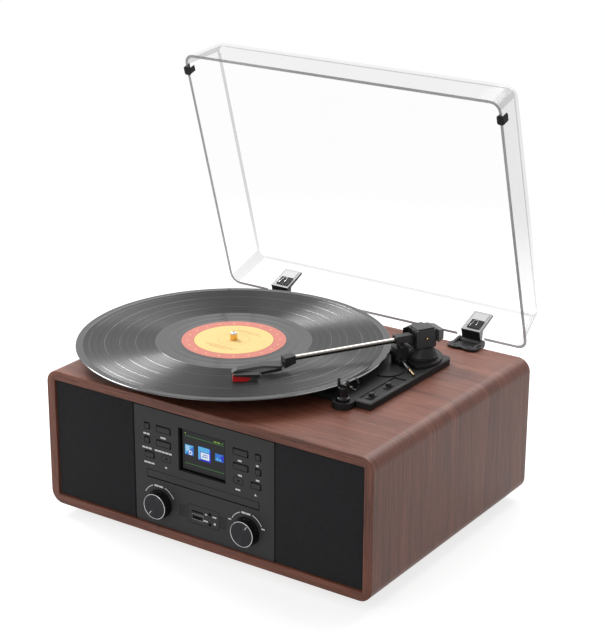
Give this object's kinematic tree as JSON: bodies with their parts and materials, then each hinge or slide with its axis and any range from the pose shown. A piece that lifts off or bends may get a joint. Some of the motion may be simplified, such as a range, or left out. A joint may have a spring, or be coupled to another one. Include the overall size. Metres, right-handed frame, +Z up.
{
  "type": "record player",
  "caption": "Compact wooden record player with a clear hinged lid, straight tonearm, radio face, disc drawer and built-in speakers.",
  "frame": {"origin": "on the table under the middle of the whole object's bounding box, lid open and record on the platter", "axes": "+Z up, the control face looks along -Y, +X to the right as seen from the front"},
  "size_m": [0.3888, 0.3504, 0.4173],
  "materials": {
    "walnut_veneer": "satin walnut veneer on board",
    "foot_rubber": "matte",
    "rear_board": "painted hardboard",
    "face_plastic": "fine matte moulding",
    "grille_cloth": "black woven cloth on a frame",
    "speaker_basket": "pressed steel, black",
    "screen": "glossy colour screen",
    "circuit_board": "green lacquered board",
    "drive_case": "plated sheet steel",
    "motor_can": "plated can",
    "pulley_brass": "turned",
    "belt_rubber": "matte",
    "knob": "black with a bright front ring",
    "deck_plastic": "black semi-gloss moulding",
    "platter_black": "black moulding",
    "platter_mat": "matte ribbed mat",
    "record_vinyl": "grooved black vinyl with a paper label",
    "spindle_brass": "polished",
    "tube_chrome": "polished",
    "stylus_red": "clear red moulding",
    "clear_acrylic": "clear polished acrylic",
    "bumper_rubber": "matte",
    "hinge_black": "glass-filled moulding",
    "hinge_metal": "grey strap"
  },
  "bodies": {
    "cabinet": {"cabinet_shell": "walnut_veneer", "control_board": "circuit_board", "disc_drive": "drive_case", "display": "screen", "drive_belt": "belt_rubber", "foot_back_left": "foot_rubber", "foot_back_right": "foot_rubber", "foot_front_left": "foot_rubber", "foot_front_right": "foot_rubber", "grille_left": "grille_cloth", "grille_right": "grille_cloth", "hinge_base_left": "hinge_black", "hinge_base_right": "hinge_black", "main_board": "circuit_board", "motor": "motor_can", "rear_panel": "rear_board", "speaker_left": "speaker_basket", "speaker_right": "speaker_basket", "front_panel": "face_plastic", "socket_block": "face_plastic", "deck_plate": "deck_plastic", "tonearm_base": "deck_plastic", "arm_rest": "deck_plastic"},
    "platter_group": {"platter": "platter_black", "platter_mat": "platter_mat", "record": "record_vinyl", "spindle": "spindle_brass"},
    "pulley": {"motor_pulley": "pulley_brass"},
    "drawer": {"disc_drawer": "face_plastic"},
    "volume_knob": {"volume_knob": "knob"},
    "tuning_knob": {"tuning_knob": "knob"},
    "arm_housing": {"tonearm_yoke": "deck_plastic"},
    "arm": {"arm_carrier": "deck_plastic", "counterweight": "deck_plastic", "tonearm_tube": "tube_chrome", "head_shell": "deck_plastic", "cartridge": "deck_plastic", "stylus": "stylus_red"},
    "cue_lever": {"cue_lever": "deck_plastic"},
    "lift_platform": {"lift_platform": "deck_plastic"},
    "arm_clip": {"arm_clip": "deck_plastic"},
    "speed_switch": {"speed_switch": "deck_plastic"},
    "auto_stop_switch": {"auto_stop_switch": "deck_plastic"},
    "lid": {"lid": "clear_acrylic", "lid_bumper_left": "bumper_rubber", "lid_bumper_right": "bumper_rubber", "hinge_arm_left": "hinge_metal", "hinge_arm_right": "hinge_metal"},
    "button_dimple_left_3": {"button_dimple_left_3": "face_plastic"},
    "button_dimple_right_3": {"button_dimple_right_3": "face_plastic"},
    "button_narrow_left_1": {"button_narrow_left_1": "face_plastic"},
    "button_narrow_left_2": {"button_narrow_left_2": "face_plastic"},
    "button_narrow_right_1": {"button_narrow_right_1": "face_plastic"},
    "button_narrow_right_2": {"button_narrow_right_2": "face_plastic"},
    "button_outer_left_3": {"button_outer_left_3": "face_plastic"},
    "button_outer_right_3": {"button_outer_right_3": "face_plastic"},
    "button_wide_left_1": {"button_wide_left_1": "face_plastic"},
    "button_wide_left_2": {"button_wide_left_2": "face_plastic"},
    "button_wide_right_1": {"button_wide_right_1": "face_plastic"},
    "button_wide_right_2": {"button_wide_right_2": "face_plastic"}
  },
  "joints": [
    {"name": "lid_hinge", "type": "hinge", "parent": "cabinet", "child": "lid", "pos_m": [0.01235, 0.13531, 0.1485], "axis": [-1, 0, 0], "range_deg": [-59, 0]},
    {"name": "platter_spin", "type": "hinge", "parent": "cabinet", "child": "platter_group", "pos_m": [-0.04385, -0.02468, 0.1533], "axis": [0, 0, 1], "continuous": true},
    {"name": "pulley_spin", "type": "hinge", "parent": "cabinet", "child": "pulley", "pos_m": [-0.09554, 0.02701, 0.1328], "axis": [0, 0, 1], "continuous": true},
    {"name": "drawer_slide", "type": "slide", "parent": "cabinet", "child": "drawer", "axis": [0, -1, 0], "range_m": [0, 0.12]},
    {"name": "volume_turn", "type": "hinge", "parent": "cabinet", "child": "volume_knob", "pos_m": [0.06085, -0.14969, 0.0419], "axis": [0, 1, 0], "range_deg": [-180, 120]},
    {"name": "tuning_turn", "type": "hinge", "parent": "cabinet", "child": "tuning_knob", "pos_m": [-0.03815, -0.14969, 0.0419], "axis": [0, 1, 0], "continuous": true},
    {"name": "button_dimple_left_3_press", "type": "slide", "parent": "cabinet", "child": "button_dimple_left_3", "axis": [0, 1, 0], "range_m": [0, 0.001], "stiffness_N_per_m": 800, "springref_m": -0.0005},
    {"name": "button_dimple_right_3_press", "type": "slide", "parent": "cabinet", "child": "button_dimple_right_3", "axis": [0, 1, 0], "range_m": [0, 0.001], "stiffness_N_per_m": 800, "springref_m": -0.0005},
    {"name": "button_narrow_left_1_press", "type": "slide", "parent": "cabinet", "child": "button_narrow_left_1", "axis": [0, 1, 0], "range_m": [0, 0.001], "stiffness_N_per_m": 800, "springref_m": -0.0005},
    {"name": "button_narrow_left_2_press", "type": "slide", "parent": "cabinet", "child": "button_narrow_left_2", "axis": [0, 1, 0], "range_m": [0, 0.001], "stiffness_N_per_m": 800, "springref_m": -0.0005},
    {"name": "button_narrow_right_1_press", "type": "slide", "parent": "cabinet", "child": "button_narrow_right_1", "axis": [0, 1, 0], "range_m": [0, 0.001], "stiffness_N_per_m": 800, "springref_m": -0.0005},
    {"name": "button_narrow_right_2_press", "type": "slide", "parent": "cabinet", "child": "button_narrow_right_2", "axis": [0, 1, 0], "range_m": [0, 0.001], "stiffness_N_per_m": 800, "springref_m": -0.0005},
    {"name": "button_outer_left_3_press", "type": "slide", "parent": "cabinet", "child": "button_outer_left_3", "axis": [0, 1, 0], "range_m": [0, 0.001], "stiffness_N_per_m": 800, "springref_m": -0.0005},
    {"name": "button_outer_right_3_press", "type": "slide", "parent": "cabinet", "child": "button_outer_right_3", "axis": [0, 1, 0], "range_m": [0, 0.001], "stiffness_N_per_m": 800, "springref_m": -0.0005},
    {"name": "button_wide_left_1_press", "type": "slide", "parent": "cabinet", "child": "button_wide_left_1", "axis": [0, 1, 0], "range_m": [0, 0.001], "stiffness_N_per_m": 800, "springref_m": -0.0005},
    {"name": "button_wide_left_2_press", "type": "slide", "parent": "cabinet", "child": "button_wide_left_2", "axis": [0, 1, 0], "range_m": [0, 0.001], "stiffness_N_per_m": 800, "springref_m": -0.0005},
    {"name": "button_wide_right_1_press", "type": "slide", "parent": "cabinet", "child": "button_wide_right_1", "axis": [0, 1, 0], "range_m": [0, 0.001], "stiffness_N_per_m": 800, "springref_m": -0.0005},
    {"name": "button_wide_right_2_press", "type": "slide", "parent": "cabinet", "child": "button_wide_right_2", "axis": [0, 1, 0], "range_m": [0, 0.001], "stiffness_N_per_m": 800, "springref_m": -0.0005},
    {"name": "arm_swing", "type": "hinge", "parent": "cabinet", "child": "arm_housing", "pos_m": [0.11635, 0.05731, 0.1773], "axis": [0, 0, 1], "range_deg": [-15.4, 26.76]},
    {"name": "arm_lift", "type": "hinge", "parent": "arm_housing", "child": "arm", "pos_m": [0.11635, 0.05731, 0.1773], "axis": [-0.8686, 0.4955, 0], "range_deg": [0, 3.9]},
    {"name": "cue_lever_turn", "type": "hinge", "parent": "cabinet", "child": "cue_lever", "pos_m": [0.1092, 0.03469, 0.1565], "axis": [-0.4955, -0.8686, 0], "range_deg": [0, 30.1]},
    {"name": "lift_platform_rise", "type": "slide", "parent": "cabinet", "child": "lift_platform", "axis": [0, 0, 1], "range_m": [0, 0.00162]},
    {"name": "arm_clip_turn", "type": "hinge", "parent": "cabinet", "child": "arm_clip", "pos_m": [0.11804, -0.06964, 0.1669], "axis": [0.0513, 0.9987, 0], "range_deg": [-90, 0]},
    {"name": "speed_switch_slide", "type": "slide", "parent": "cabinet", "child": "speed_switch", "axis": [0, 1, 0], "range_m": [0, 0.009]},
    {"name": "auto_stop_switch_slide", "type": "slide", "parent": "cabinet", "child": "auto_stop_switch", "axis": [0, 1, 0], "range_m": [0, 0.005]}
  ],
  "couplings": [
    {"joint": "pulley_spin", "follows": "platter_spin", "ratio": 9.5385},
    {"joint": "cue_lever_turn", "follows": "arm_lift", "ratio": 7.6923},
    {"joint": "lift_platform_rise", "follows": "arm_lift", "m_per_rad": 0.023506}
  ]
}
